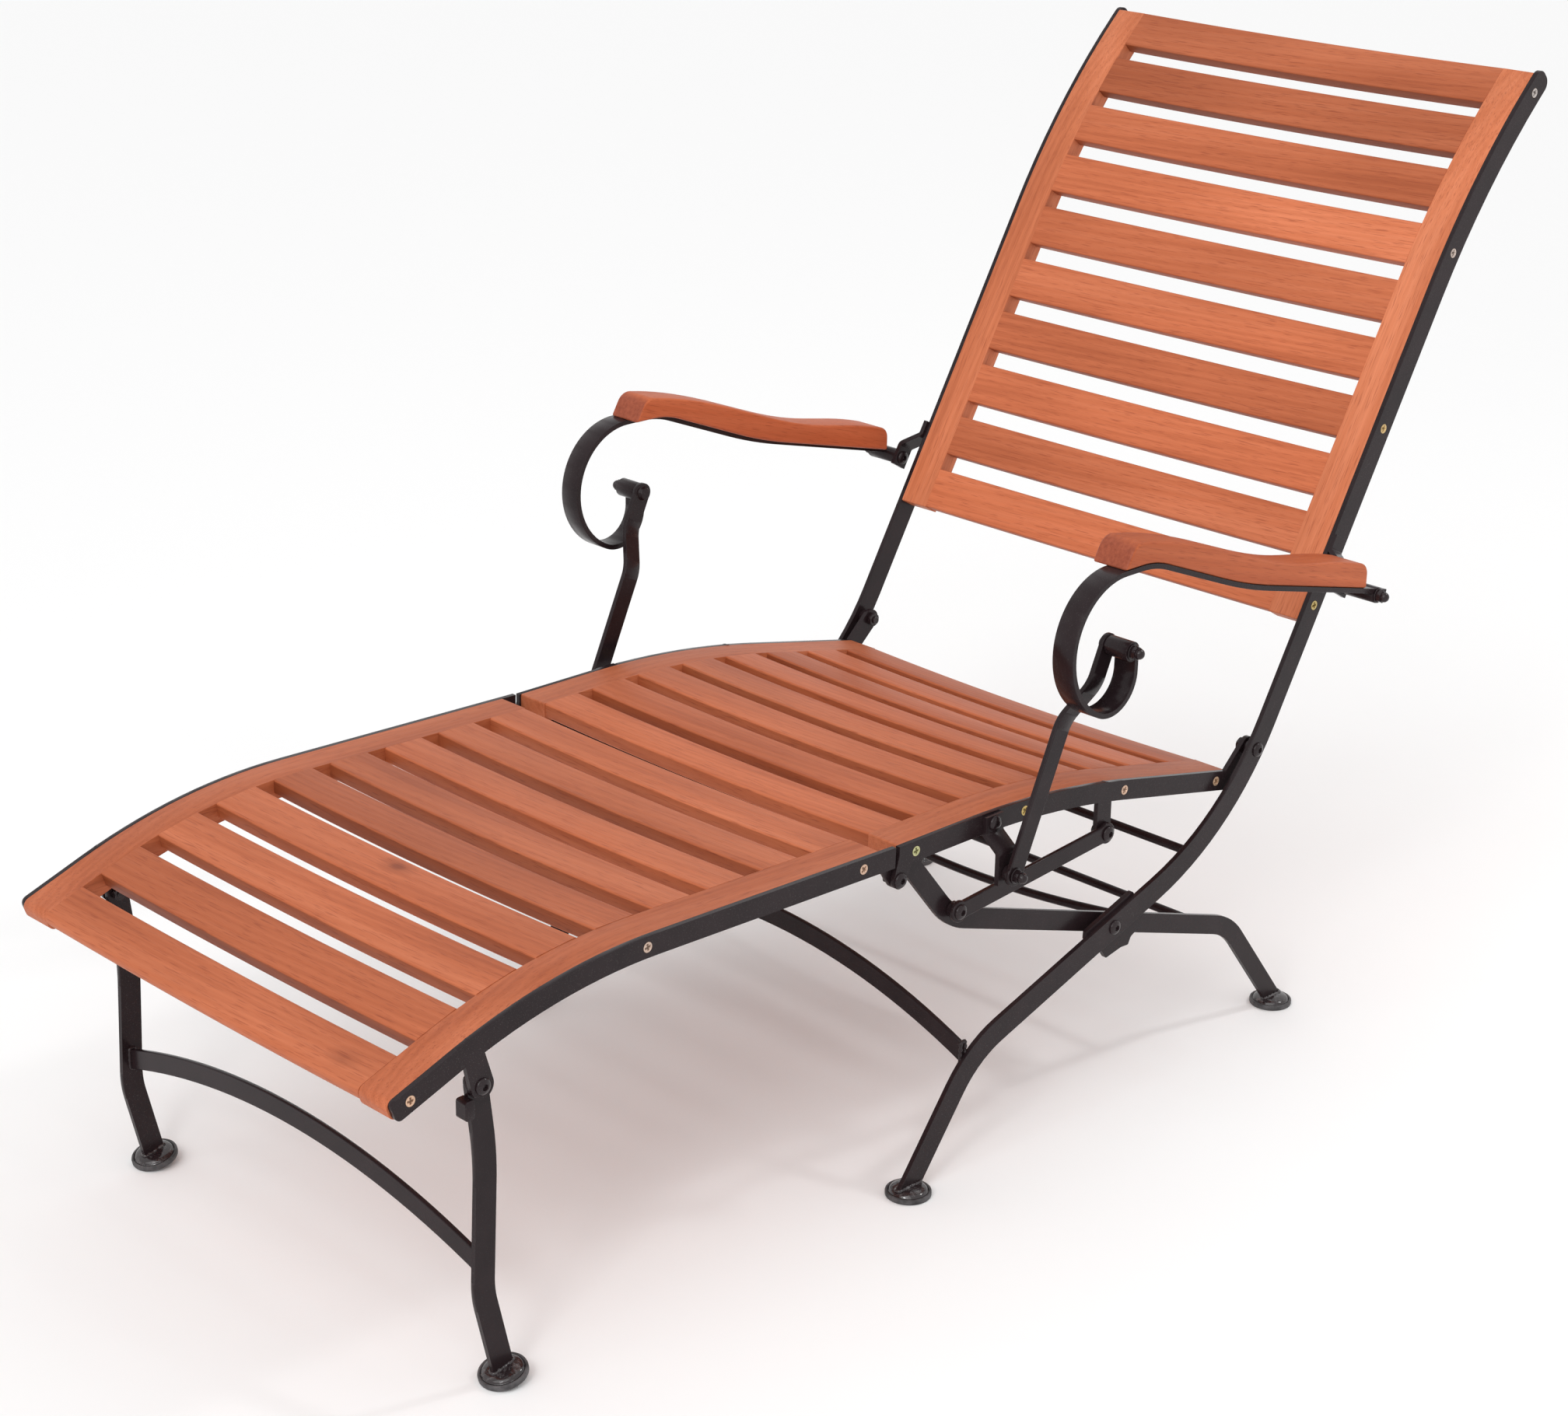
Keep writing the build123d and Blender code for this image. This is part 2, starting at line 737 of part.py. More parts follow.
# Arm supports, which step outwards on the way up to the scroll
support_run = (Vector(*grip_pivot) - Vector(*support_pivot)).length
support_frame = across_frame(support_pivot, heading(support_pivot, grip_pivot))
support_low = support_in + bar_t / 2
support_high = support_top_in + bar_t / 2
support_line = [
    (support_low, 0),
    (support_low, support_step_low),
    (support_high, support_step_high),
    (support_high, support_run),
]
with BuildPart() as arm_support:
    add(offset_strip(support_frame, support_line, support_bend_r, rail_w))
    disc(support_pivot, eye_r, support_in, support_in + bar_t)
    disc(grip_pivot, eye_r, support_top_in, support_top_out)
    button_head(grip_pivot, support_top_in, -1)
    bore(support_pivot, support_in, support_in + bar_t)
save_sides("arm_support", arm_support)

# Footrest: rails with a hinge lug at the seat and a tab for the front leg
rest_tip = toward(rest_crown, -rest_drop, rest_run)
rest_rise = heading(rest_rear, rest_crown)
rest_timber = [
    meet(rest_crown, rest_rise, (rest_timber_x, 0), 90),
    rest_crown,
    toward(rest_tip, -rest_drop, rest_over),
]
rest_screw_at = spots(path_on(rest_timber, [rest_r], 0), rest_screw_ends, rest_screw_count)
leg_root = meet(rest_crown, -rest_drop, leg_pivot, leg_tab_angle)
with BuildPart() as footrest_rail:
    add(side_bar([rest_rear, rest_crown, rest_tip], [rest_r], rail_w, seat_half))
    tip_edges = footrest_rail.edges().filter_by(Axis.Y)
    tip_edges = tip_edges.sort_by_distance((rest_tip[0], seat_half, rest_tip[1]))[0:2]
    fillet(tip_edges, radius=rail_w * 0.3)
    web(leg_pivot, tab_r, leg_root, rail_w / 2, seat_half)
    web(foot_hinge, lug_r, lug_root, head_r, lug_in)
    disc(lug_root, head_r, lug_out, seat_half)
    bore(foot_hinge, lug_in, lug_out)
    bore(leg_pivot, seat_half, rail_out)
    sink(rest_screw_at, rail_out)
save_sides("footrest_rail", footrest_rail)

save_sides("footrest_stile", stile(rest_timber, [rest_r], seat_half, rest_screw_at, front_nose_r))
footrest_slats = slats(rest_timber, [rest_r], seat_half, rest_slat_w, rest_slat_count, rest_slat_ends)
save("footrest_slats", footrest_slats.part)
save("footrest_screws", screws(rest_screw_at, rail_out).part)

with BuildPart() as leg_pivot_bolts:
    bolt(leg_pivot, front_leg_in - side_play, rail_out)
    disc(leg_pivot, collar_r, front_leg_out + side_play, seat_half)
    mirror(about=Plane.XZ)
save("leg_pivot_bolts", leg_pivot_bolts.part)

# Front legs, joined by an arched bar, with a stop block in front of each tab
foot_rise = cap_edge * (1 - cos(radians(leg_tilt))) + (cap_r - cap_edge) * sin(radians(leg_tilt))
foot_run = (leg_shin[1] - foot_rise) / cos(radians(leg_tilt))
front_foot = toward(leg_shin, -90 - leg_tilt, foot_run)
leg_end = toward(leg_shin, -90 - leg_tilt, foot_run - foot_h)
stop_at = toward(leg_pivot, stop_angle, tab_r + stop_gap)
with BuildPart() as front_leg:
    add(side_bar([leg_pivot, leg_knee, leg_shin, leg_end], [leg_knee_r, leg_shin_r], leg_w, front_leg_in))
    disc(leg_pivot, leg_w / 2, front_leg_in, front_leg_out)
    with BuildSketch(side_plane(rail_out)):
        with Locations(stop_at):
            RectangleRounded(stop_t, stop_h, stop_r, align=(Align.MIN, Align.MAX))
    extrude(amount=rail_out - front_leg_in)
    bore(leg_pivot, front_leg_in, front_leg_out)
save_sides("front_leg", front_leg)

front_arch_x = meet(leg_knee, heading(leg_knee, leg_shin), (0, front_arch_z + arch_w / 2), 0)[0]
save("front_crossbar", arch(front_arch_x, front_arch_z, front_leg_in, front_arch_rise))

front_place = Location((front_foot[0], front_leg_in + bar_t / 2, front_foot[1]), (0, leg_tilt, 0))
front_caps, front_plates = foot_pair(front_place)
save("front_foot_caps", front_caps.part)
save("front_foot_plates", front_plates.part)
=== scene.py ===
import math
import random

import bmesh
import bpy
from mathutils import Matrix, Vector


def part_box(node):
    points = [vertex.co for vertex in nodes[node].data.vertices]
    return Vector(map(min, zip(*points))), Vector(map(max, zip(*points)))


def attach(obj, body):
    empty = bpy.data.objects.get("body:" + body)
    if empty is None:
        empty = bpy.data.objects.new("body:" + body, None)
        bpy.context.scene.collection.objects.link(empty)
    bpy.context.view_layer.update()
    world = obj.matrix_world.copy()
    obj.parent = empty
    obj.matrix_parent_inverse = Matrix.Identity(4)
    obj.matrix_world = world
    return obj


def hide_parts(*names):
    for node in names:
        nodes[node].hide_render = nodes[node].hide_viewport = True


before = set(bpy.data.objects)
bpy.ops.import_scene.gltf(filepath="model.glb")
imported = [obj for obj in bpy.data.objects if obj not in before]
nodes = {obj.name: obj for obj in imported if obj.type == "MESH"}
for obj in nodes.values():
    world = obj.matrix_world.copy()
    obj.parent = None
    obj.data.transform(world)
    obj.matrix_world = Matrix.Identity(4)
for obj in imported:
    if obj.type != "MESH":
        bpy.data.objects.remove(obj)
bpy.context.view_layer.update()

scene = bpy.context.scene
scene.view_settings.view_transform = "Standard"

MM = 0.001
SIDES = (1, -1)
QUARTER = math.pi / 2

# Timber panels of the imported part, in millimetres. A line is the middle of a pair of stiles in
# the side view, as (X, Z) points: two straights, joined by an arc.
STILE_W = 36.0
STILE_T = 20.0
BACK_LINE = [(-739.86, 942.08), (-644.01, 850.16), (-404.33, 435.03)]
BACK_ARC = 850.0
BACK_HALF = 272.0
BACK_OUT = 277.0
SEAT_LINE = [(-306.04, 288.15), (-38.6, 345.0), (171.0, 345.0)]
SEAT_ARC = 1090.0
SEAT_HALF = 260.0
REST_LINE = [(195.0, 346.45), (578.0, 356.5), (749.02, 294.25)]
REST_ARC = 590.0
RAIL_OUT = 265.0
SCREW_DROP = -2.5

# Slats. A tone runs from 0, dark, to 1, pale, and was set for each slat.
SLAT_T = 15.0
SLAT_DISH = 4.0
SLAT_EDGE = 2.0
SLAT_NOSE = 7.0
SLAT_STATIONS = 33
# The sides of a slat, all but a nosed front, carry painted shade: SIDE_SHADE lowers their tone
# below that of the top
SIDE_BAND = 0.1
SIDE_SHADE = 0.40
TOP_DARKEST = 0.4
LOG_SPAN = 9000.0
GRAIN_TWIST = 0.35
GRAIN_SLOPE = 0.02
BACK_TONES = (0.35, 0.15, 0.60, 0.95, 0.95, 0.85, 0.55, 1.00, 0.65, 0.85)
SEAT_TONES = (0.55, 0.65, 0.45, 0.60, 0.40, 0.55, 0.60, 0.65)
REST_TONES = (0.55, 0.35, 0.60, 0.30, 0.15, 0.50, 0.45, 0.30, 0.50)

# Solid timber: the slope of the grain in the side view, in degrees, and a tint
STILES = {
    # The back stile's tint is painted light: it makes the back, which faces the light, paler than
    # the seat and footrest
    "back_stile": (-60.0, (1.16, 1.26, 1.33)),
    "seat_stile": (6.0, (0.96, 0.98, 1.00)),
    "footrest_stile": (0.0, (0.93, 0.92, 0.92)),
    "armrest_pad": (17.0, (0.94, 0.79, 0.67)),
}
STILE_SHIFT = 0.37
LEFT_SHIFT = 0.19

# Colours in linear RGB. A list of stops holds (place, colour).
WOOD_FIGURE = [(0.22, (0.380, 0.092, 0.034)), (0.45, (0.490, 0.133, 0.054)),
               (0.78, (0.585, 0.182, 0.085))]
WOOD_DRIFT = [(0.32, (0.80, 0.75, 0.70)), (0.66, (1.10, 1.11, 1.12))]
WOOD_FIBRE = [(0.28, (0.66, 0.60, 0.54)), (0.72, (1.10, 1.10, 1.10))]
WOOD_PORE = (0.24, 0.046, 0.018)
KNOT_MASK = [(0.03, (0.75,) * 3), (0.06, (0.30,) * 3), (0.13, (0.0,) * 3)]
KNOT = (0.17, 0.035, 0.014)
# Tones below TOP_DARKEST come only from the painted shade on the sides of slats
SLAT_TONES_AND_SHADE = [(0.0, (0.42, 0.36, 0.31)), (TOP_DARKEST, (0.74, 0.68, 0.62)),
               (1.0, (1.19, 1.22, 1.25))]
END_GRAIN = [(0.30, (0.235, 0.050, 0.023)), (0.72, (0.345, 0.084, 0.040))]
END_WAY = (1.0, 0.0, 0.25)
COAT = [(0.30, (0.0140, 0.0082, 0.0094)), (0.72, (0.0215, 0.0128, 0.0145))]
COAT_SPECK = (0.055, 0.048, 0.046)
COAT_SCUFF = (0.115, 0.106, 0.108)
RUBBER = [(0.35, (0.020, 0.018, 0.019)), (0.70, (0.100, 0.093, 0.096))]
ZINC_SHADES = [(0.0, (0.50, 0.46, 0.44)), (0.35, (0.66, 0.43, 0.30)), (0.7, (0.60, 0.44, 0.15)),
               (1.0, (0.52, 0.52, 0.27))]
ZINC_CLOUD = [(0.30, (0.45, 0.42, 0.40)), (0.70, (1.25, 1.22, 1.20))]
# The colour of the painted shade in the cross recess of a screw and in a ring at its rim
ZINC_RECESS_SHADE = (0.055, 0.034, 0.018)

# How often a pattern in the timber repeats per metre, along the grain and across it
BROAD = (1.6, 30.0, 30.0)
RINGS = (1.4, 42.0, 30.0)
DRIFT = (2.4, 8.0, 8.0)
FIBRE = (7.0, 430.0, 430.0)
PORES = (45.0, 1000.0, 1000.0)
KNOTS = (5.0, 9.0, 9.0)

# Meshes: points nearer than MERGE, in metres, become one, and AXIS is the radius, in
# millimetres, of the first and last ring of a turned profile
MERGE = 1e-6
SHARP = math.radians(38.0)
AXIS = 0.01
ROUND_COUNT = 40
FOOT_COUNT = 64

# Bolt heads and nuts, in millimetres
BOLT_COUNT = 48
BOLT_RINGS = 22
BUTTON_R = 7.5
BUTTON_EDGE = 0.4
BUTTON_RISE = 3.4
BUTTON_ROUND = 7.6
SOCKET_SIDES = (0.0, math.pi / 3, 2 * math.pi / 3)
SOCKET_WALL = (2.2, 2.7)
SOCKET_DEPTH = 2.4
COLLAR_EASE = 0.6
NUT_H = 5.0
NUT_HALF = 6.5
NUT_CHAMFER = 0.5
NUT_FACE = 0.90
NUT_CORNER = 0.99
NUT_AXIS = 0.02
WASHER_T = 1.4
WASHER_R = 7.6
ACORN_HALF = 5.8
ACORN_R = 5.2
ACORN_NECK = [(AXIS, 5.6), (5.0, 5.6), (ACORN_R, 7.2)]
ACORN_BASE = 7.6
ACORN_TOP = 12.8

# Pivot fasteners: the body they ride on, and their items. A head, nut or acorn has its seat across
# the chair and the way it faces; a collar or shank has its two ends. Shanks end inside the heads.
PIVOTS = {
    "seat_pivot_bolts": ("back_frame", [("head", 277.0, 1), ("collar", 265.4, 272.0),
                                        ("nut", 259.6, -1), ("shank", 252.6, 277.5)]),
    "cross_pivot_bolts": ("back_frame", [("head", 277.0, 1), ("collar", 259.9, 267.0),
                                         ("nut", 254.1, -1), ("shank", 247.6, 277.5)]),
    "arm_pivot_bolts": ("back_frame", [("head", 300.0, -1), ("acorn", 345.4, 1)]),
    "hanger_bolts": ("seat", [("head", 270.0, 1)]),
    "link_pivot_bolts": ("seat", [("head", 271.0, 1), ("nut", 260.0, -1),
                                  ("shank", 253.6, 271.5)]),
    "support_pivot_bolts": ("seat", [("head", 282.0, -1), ("collar", 287.0, 292.1),
                                     ("acorn", 297.9, 1)]),
    "foot_hinge_pins": ("seat", [("head", 265.0, 1), ("nut", 254.2, -1),
                                 ("shank", 247.8, 265.5)]),
    "leg_pivot_bolts": ("footrest", [("head", 265.0, 1), ("collar", 258.4, 260.0),
                                     ("nut", 252.6, -1), ("shank", 246.2, 265.5)]),
}
# The same, where each side has a node and a body of its own
SIDE_PIVOTS = {
    "link_bolt": ("link", [("head", 270.6, 1), ("collar", 259.9, 265.6)]),
    "grip_nut": ("armrest", [("acorn", 345.0, 1)]),
}
PIVOT_RADII = {"collar": 8.0, "shank": 4.0}

# Wood screws, in millimetres
SCREW_COUNT = 64
SCREW_RINGS = 26
SCREW_R = 4.8
SCREW_SHANK_R = 2.2
SCREW_SEAT = -2.6
SCREW_CROWN = 0.35
SCREW_FALL = 0.30
CROSS_DEPTH = 2.0
CROSS_WALL = (0.75, 1.15)
CROSS_END = (2.6, 3.5)
# A depth used only to paint shade in a band at the rim of a screw head; the head does not sink
# there
RIM_SHADE_DEPTH = 0.9
RIM_SHADE_BAND = (0.90, 0.98)

# Weld beads, in millimetres
BEAD_R = 1.9
BEAD_LUMP = 0.35
BEAD_PITCH = 1.25
BEAD_JITTER = 0.12
BEAD_STEP = 1.1
BEAD_SIDES = 10
BEAD_CORNER = 2.2
BEAD_BAR_T = 6.0
ARCH_SEED = 60
FOOT_SEED = 40

# Feet, in millimetres: profiles as (radius, height)
CUP = [(AXIS, 0.0), (20.6, 0.0), (21.6, 0.5), (22.0, 1.5), (22.0, 4.2), (21.7, 5.2), (20.9, 5.7),
       (19.9, 5.6), (19.3, 5.0), (19.1, 4.4), (AXIS, 4.4)]
PLATE_EDGE = [(AXIS, 4.5), (18.9, 4.5), (18.9, 5.3), (18.3, 5.9)]
PLATE_R = 18.3
PLATE_BASE = 5.9
PLATE_RISE = 4.4
PLATE_TOP = 10.3
PLATE_WELD = 9.4
MID_FOOT = (157.0, 274.5, 0.0)
REAR_FOOT = (-422.0, 257.0, 0.0)
FRONT_FOOT = (632.87, 255.5, 4.83)
FRONT_TILT = 13.5

# Finish of the CAD nodes, in metres and degrees. Pieces stand for the nodes that aren't eased.
NOT_EASED = ("caps", "screws", "bolt", "slats")
PAD_EASE = 0.0026
STILE_EASE = 0.0012
BAR_EASE = 0.0010
CAD_MERGE = 0.00002
FLAT_ANGLE = 0.6
EDGE_ANGLE = 35.0

# Camera fitted to the photograph, in metres and degrees
CAMERA_AT = (2.09579, 2.03458, 1.47994)
CAMERA_AZIMUTH = 134.944
CAMERA_ELEVATION = 20.829
CAMERA_ROLL = 0.974
FOCUS_PX = 4081.19
PHOTO_PX = 2016.0
SENSOR_MM = 36.0

# Light
FLOOR_SIZE = 16.0
FLOOR_WHITE = 0.95
FILL = 0.74
KEY_POWER = 1.15
KEY_SPREAD = 60.0
KEY_WAY = (-0.66, -0.26, -0.70)


# Side view geometry

def toward(point, angle, distance):
    return (point[0] + distance * math.cos(angle), point[1] + distance * math.sin(angle))


def heading(p, q):
    return math.atan2(q[1] - p[1], q[0] - p[0])


def meet(p, a, q, b):
    """Where the line through p at angle a crosses the line through q at angle b."""
    s = ((q[0] - p[0]) * math.sin(b) - (q[1] - p[1]) * math.cos(b)) / math.sin(b - a)
    return toward(p, a, s)


def beside(points, distance):
    """The three-point line moved to the left of its travel."""
    a = heading(points[0], points[1])
    b = heading(points[1], points[2])
    p = toward(points[0], a + QUARTER, distance)
    q = toward(points[2], b + QUARTER, distance)
    return [p, meet(p, a, q, b), q]


class Bend:
    """A line of two straights joined by an arc, walked by length."""

    def __init__(self, points, radius):
        self.start, corner, end = points
        self.a = heading(self.start, corner)
        self.b = heading(corner, end)
        self.turn = self.b - self.a
        self.radius = radius
        cut = radius * math.tan(abs(self.turn) / 2)
        self.first = math.dist(self.start, corner) - cut
        self.arc = radius * abs(self.turn)
        self.length = self.first + self.arc + math.dist(corner, end) - cut

    def at(self, s):
        """The point and the angle of travel after a length."""
        point = toward(self.start, self.a, min(s, self.first))
        angle = self.a
        if s > self.first:
            swept = min(s - self.first, self.arc) / self.radius * math.copysign(1.0, self.turn)
            chord = 2 * self.radius * math.sin(abs(swept) / 2)
            point = toward(point, self.a + swept / 2, chord)
            angle = self.a + swept
        if s > self.first + self.arc:
            point = toward(point, self.b, s - self.first - self.arc)
        return point, angle


def smooth(low, high, value):
    """An eased step from 0 at low to 1 at high."""
    t = min(1.0, max(0.0, (value - low) / (high - low)))
    return t * t * (3 - 2 * t)


# Node graph helpers

def material(name):
    mat = bpy.data.materials.new(name)
    mat.use_nodes = True
    tree = mat.node_tree
    return mat, tree, tree.nodes["Principled BSDF"]


def add(tree, kind, inputs=None, **settings):
    node = tree.nodes.new(kind)
    for key, value in settings.items():
        setattr(node, key, value)
    for key, value in (inputs or {}).items():
        if isinstance(value, bpy.types.NodeSocket):
            tree.links.new(value, node.inputs[key])
        else:
            node.inputs[key].default_value = value
    return node


def object_place(tree):
    return add(tree, "ShaderNodeTexCoord").outputs["Object"]


def attribute(tree, name, output):
    return add(tree, "ShaderNodeAttribute", attribute_name=name).outputs[output]


def plus(tree, a, b, **settings):
    node = add(tree, "ShaderNodeMath", {0: a, 1: b}, operation="ADD", **settings)
    return node.outputs[0]


def noise(tree, vector, scale, detail, rough=0.55, warp=0.0):
    node = add(tree, "ShaderNodeTexNoise", {"Vector": vector, "Scale": scale, "Detail": detail,
                                            "Roughness": rough, "Distortion": warp})
    return node.outputs["Fac"]


def stretched(tree, vector, scale):
    return add(tree, "ShaderNodeMapping", {"Vector": vector, "Scale": scale}).outputs["Vector"]


def streaks(tree, along, scale, detail, rough=0.55, warp=0.0):
    return noise(tree, stretched(tree, along, scale), 1.0, detail, rough, warp)


def ramp(tree, fac, stops):
    node = add(tree, "ShaderNodeValToRGB", {"Fac": fac})
    bar = node.color_ramp
    while len(bar.elements) < len(stops):
        bar.elements.new(0.5)
    for element, (place, colour) in zip(bar.elements, stops):
        element.position = place
        element.color = (*colour, 1.0)
    return node.outputs["Color"]


def grey(tree, fac, low, high):
    return ramp(tree, fac, [(low, (0.0,) * 3), (high, (1.0,) * 3)])


def span(tree, fac, low, high):
    node = add(tree, "ShaderNodeMapRange", {"Value": fac, "To Min": low, "To Max": high})
    return node.outputs["Result"]


def mix(tree, fac, a, b, blend="MIX"):
    node = add(tree, "ShaderNodeMix", data_type="RGBA", blend_type=blend)
    for key, value in (("Factor", fac), ("A", a), ("B", b)):
        sockets = [s for s in node.inputs if s.name == key and s.enabled]
        if isinstance(value, bpy.types.NodeSocket):
            tree.links.new(value, sockets[0])
        else:
            sockets[0].default_value = value if key == "Factor" else (*value, 1.0)
    return [s for s in node.outputs if s.enabled][0]


def shaded(tree, amount, colour, fac, stops):
    return mix(tree, amount, colour, ramp(tree, fac, stops), "MULTIPLY")


def coat(tree, shader, colour, rough):
    tree.links.new(colour, shader.inputs["Base Color"])
    tree.links.new(rough, shader.inputs["Roughness"])


def bump(tree, shader, height, strength, distance):
    node = add(tree, "ShaderNodeBump", {"Height": height, "Strength": strength,
                                        "Distance": distance})
    tree.links.new(node.outputs["Normal"], shader.inputs["Normal"])


# Materials

def timber(name, along_in, tint=None, end_grain=False):
    """Oiled hardwood, with the grain along X of the vector that along_in(tree) gives.

    Without a tint, the tone attribute shades it.
    """
    mat, tree, shader = material(name)
    along = along_in(tree)
    broad = streaks(tree, along, BROAD, detail=4.0, rough=0.5, warp=0.3)
    rings = add(tree, "ShaderNodeTexWave",
                {"Vector": stretched(tree, along, RINGS), "Scale": 1.5, "Distortion": 7.0,
                 "Detail": 3.0, "Detail Scale": 0.9, "Detail Roughness": 0.65},
                bands_direction="DIAGONAL").outputs["Fac"]
    drift = streaks(tree, along, DRIFT, detail=2.0, rough=0.5)
    fibre = streaks(tree, along, FIBRE, detail=4.0, rough=0.65)
    pores = grey(tree, streaks(tree, along, PORES, detail=1.0), 0.30, 0.42)
    colour = ramp(tree, mix(tree, 0.12, broad, rings), WOOD_FIGURE)
    colour = shaded(tree, 0.8, colour, drift, WOOD_DRIFT)
    colour = shaded(tree, 0.34, colour, fibre, WOOD_FIBRE)
    colour = mix(tree, span(tree, pores, 0.50, 0.0), colour, WOOD_PORE)
    knot = add(tree, "ShaderNodeTexVoronoi", {"Vector": stretched(tree, along, KNOTS),
                                              "Scale": 1.0}).outputs["Distance"]
    knot = plus(tree, knot, span(tree, fibre, -0.02, 0.02))
    colour = mix(tree, ramp(tree, knot, KNOT_MASK), colour, KNOT)
    if tint:
        colour = mix(tree, 1.0, colour, tint, "MULTIPLY")
    else:
        # The tone attribute holds each slat's own tone, less the painted shade on its sides
        colour = shaded(tree, 1.0, colour, attribute(tree, "tone", "Fac"), SLAT_TONES_AND_SHADE)
    if end_grain:
        facing = add(tree, "ShaderNodeTexCoord").outputs["Normal"]
        lean = add(tree, "ShaderNodeVectorMath", {0: facing, 1: END_WAY},
                   operation="DOT_PRODUCT").outputs["Value"]
        cells = noise(tree, object_place(tree), scale=260.0, detail=3.0, rough=0.6)
        colour = mix(tree, grey(tree, lean, 0.42, 0.80), colour, ramp(tree, cells, END_GRAIN))
    coat(tree, shader, colour, span(tree, fibre, 0.40, 0.60))
    shader.inputs["Specular IOR Level"].default_value = 0.22
    bump(tree, shader, mix(tree, 0.5, fibre, pores), strength=0.22, distance=0.0005)
    return mat


def slat_timber(name):
    """Timber whose grain follows the grain attribute."""
    return timber(name, lambda tree: attribute(tree, "grain", "Vector"))


def solid_timber(name, angle, shift, tint, end_grain):
    """Timber whose grain runs at an angle in the side view, cut from its own place."""
    def along_in(tree):
        node = add(tree, "ShaderNodeMapping", {"Vector": object_place(tree),
                                               "Rotation": (0.0, angle, 0.0),
                                               "Location": (shift, shift * 0.37, shift * 0.71)})
        return node.outputs["Vector"]

    return timber(name, along_in, tint, end_grain)


def painted_steel(name, rough, shine, scuffed=False):
    """Black powder coat with a fine orange peel, and with grey scuffs where it is scuffed."""
    mat, tree, shader = material(name)
    place = object_place(tree)
    peel = noise(tree, place, scale=700.0, detail=2.0)
    cloud = noise(tree, place, scale=24.0, detail=4.0, rough=0.6)
    specks = grey(tree, noise(tree, place, scale=1500.0, detail=0.0), 0.74, 0.80)
    colour = mix(tree, specks, ramp(tree, cloud, COAT), COAT_SPECK)
    rough = span(tree, cloud, *rough)
    if scuffed:
        scuffs = noise(tree, place, scale=120.0, detail=6.0, rough=0.72, warp=0.4)
        scuffs = grey(tree, scuffs, 0.50, 0.68)
        colour = mix(tree, scuffs, colour, COAT_SCUFF)
        rough = plus(tree, rough, span(tree, scuffs, 0.0, 0.30))
    coat(tree, shader, colour, rough)
    shader.inputs["Specular IOR Level"].default_value = shine
    bump(tree, shader, peel, strength=0.10, distance=0.0003)
    return mat


def rubber(name):
    mat, tree, shader = material(name)
    place = object_place(tree)
    grain = noise(tree, place, scale=900.0, detail=3.0)
    scuff = noise(tree, place, scale=70.0, detail=4.0, rough=0.65)
    coat(tree, shader, ramp(tree, scuff, RUBBER), span(tree, grain, 0.45, 0.70))
    bump(tree, shader, grain, strength=0.25, distance=0.0004)
    return mat


def zinc(name):
    """Passivated zinc, each screw its own shade by its tone, with painted shade where the grain
    holds a depth.
    """
    mat, tree, shader = material(name)
    place = object_place(tree)
    cloud = noise(tree, place, scale=260.0, detail=3.0)
    colour = ramp(tree, attribute(tree, "tone", "Fac"), ZINC_SHADES)
    colour = shaded(tree, 0.30, colour, cloud, ZINC_CLOUD)
    # Painted shade: darker in the cross recess and in a ring at the rim
    painted_shade = grey(tree, attribute(tree, "grain", "Fac"), 0.0003, 0.0011)
    colour = mix(tree, painted_shade, colour, ZINC_RECESS_SHADE)
    coat(tree, shader, colour, span(tree, cloud, 0.30, 0.48))
    shader.inputs["Metallic"].default_value = 0.55
    pits = noise(tree, place, scale=2400.0, detail=2.0)
    bump(tree, shader, pits, strength=0.15, distance=0.0002)
    return mat


# Mesh helpers

class Shape:
    """Points and faces collected for one piece, in millimetres, with two values for its material.

    Grain is a place in the timber, or, three times over, a depth that paints shade on a screw head.
    Tone is a shade, with painted shade on slat sides.
    """

    def __init__(self):
        self.points = []
        self.faces = []
        self.grain = []
        self.tone = []

    def put(self, points, faces, grain=None, tone=0.5):
        """Add a form. The tone is one for the form, or a list with one for each point."""
        base = len(self.points)
        self.points += points
        self.faces += [tuple(base + i for i in face) for face in faces]
        self.grain += grain or [(0.0, 0.0, 0.0)] * len(points)
        self.tone += tone if isinstance(tone, list) else [tone] * len(points)

    def piece(self, name, mat, body, replaced, toned=False):
        """Make the piece. A toned one carries its grain and tone as attributes."""
        mesh = bpy.data.meshes.new(name)
        mesh.from_pydata([tuple(MM * c for c in p) for p in self.points], [], self.faces)
        if toned:
            grain = mesh.attributes.new("grain", "FLOAT_VECTOR", "POINT")
            grain.data.foreach_set("vector", [MM * c for g in self.grain for c in g])
            tone = mesh.attributes.new("tone", "FLOAT", "POINT")
            tone.data.foreach_set("value", self.tone)
        joined = bmesh.new()
        joined.from_mesh(mesh)
        bmesh.ops.remove_doubles(joined, verts=joined.verts, dist=MERGE)
        joined.to_mesh(mesh)
        joined.free()
        mesh.update()
        for face in mesh.polygons:
            face.use_smooth = True
        mesh.set_sharp_from_angle(angle=SHARP)
        mesh.materials.append(mat)
        obj = bpy.data.objects.new(name, mesh)
        scene.collection.objects.link(obj)
        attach(obj, body)
        if replaced:
            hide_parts(*replaced)


def circle(count):
    return [2 * math.pi * k / count for k in range(count)]


